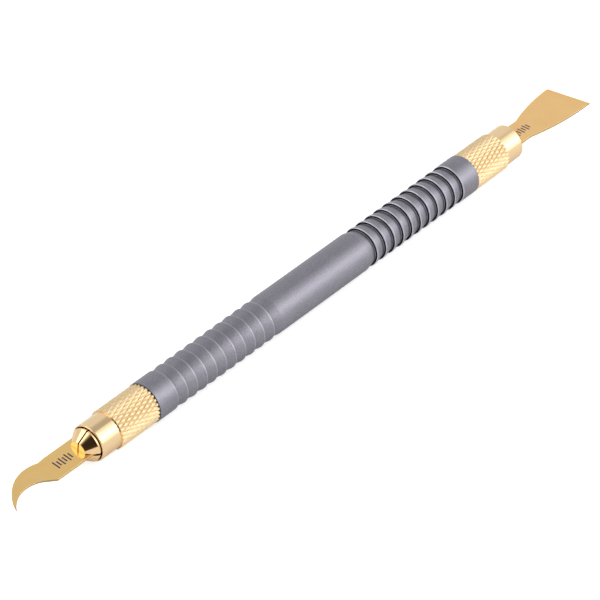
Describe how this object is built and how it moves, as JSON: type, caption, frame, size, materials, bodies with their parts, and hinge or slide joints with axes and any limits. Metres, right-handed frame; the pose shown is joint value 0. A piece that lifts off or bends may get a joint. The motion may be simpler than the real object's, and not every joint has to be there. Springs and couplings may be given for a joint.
{
  "type": "double-ended pry and scraper tool",
  "caption": "Slim turned handle with a collet chuck at each end, one holding a thin hooked prying blade and the other a flared spatula blade.",
  "frame": {"origin": "middle of the handle, on its axis", "axes": "+X along the handle towards the spatula blade, +Z square to the spatula blade's face, +Y to the side"},
  "size_m": [0.178, 0.0104, 0.009],
  "materials": {
    "anodised_handle": "dark grey satin anodised, fine turning marks",
    "gold_sleeve": "pale gold plated, polished neck and diamond knurl",
    "gold_collet": "pale gold plated, polished",
    "coated_blade": "thin gold nitride coating, satin, ground lengthwise"
  },
  "bodies": {
    "handle": {"handle": "anodised_handle"},
    "hook_end_sleeve": {"hook_end_sleeve": "gold_sleeve"},
    "hook_end_collet": {"hook_end_collet": "gold_collet"},
    "hook_blade": {"hook_blade": "coated_blade"},
    "spatula_end_sleeve": {"spatula_end_sleeve": "gold_sleeve"},
    "spatula_end_collet": {"spatula_end_collet": "gold_collet"},
    "spatula_blade": {"spatula_blade": "coated_blade"}
  },
  "joints": [
    {"name": "hook_sleeve_turn", "type": "hinge", "parent": "handle", "child": "hook_end_sleeve", "pos_m": [-0.058, 0, 0], "axis": [-1, 0, 0], "range_deg": [-361, 330]},
    {"name": "hook_collet_travel", "type": "slide", "parent": "hook_end_sleeve", "child": "hook_end_collet", "axis": [-1, 0, 0], "range_m": [-0.0008, 0.00073]},
    {"name": "hook_blade_out", "type": "slide", "parent": "hook_end_collet", "child": "hook_blade", "axis": [-1, 0, 0], "range_m": [0, 0.012]},
    {"name": "spatula_sleeve_turn", "type": "hinge", "parent": "handle", "child": "spatula_end_sleeve", "pos_m": [0.058, 0, 0], "axis": [1, 0, 0], "range_deg": [0, 690]},
    {"name": "spatula_collet_travel", "type": "slide", "parent": "spatula_end_sleeve", "child": "spatula_end_collet", "axis": [1, 0, 0], "range_m": [0, 0.00153]},
    {"name": "spatula_blade_out", "type": "slide", "parent": "spatula_end_collet", "child": "spatula_blade", "axis": [1, 0, 0], "range_m": [0, 0.012]}
  ],
  "couplings": [
    {"joint": "hook_sleeve_turn", "follows": "hook_collet_travel", "rad_per_m": 7854},
    {"joint": "spatula_sleeve_turn", "follows": "spatula_collet_travel", "rad_per_m": 7854}
  ]
}
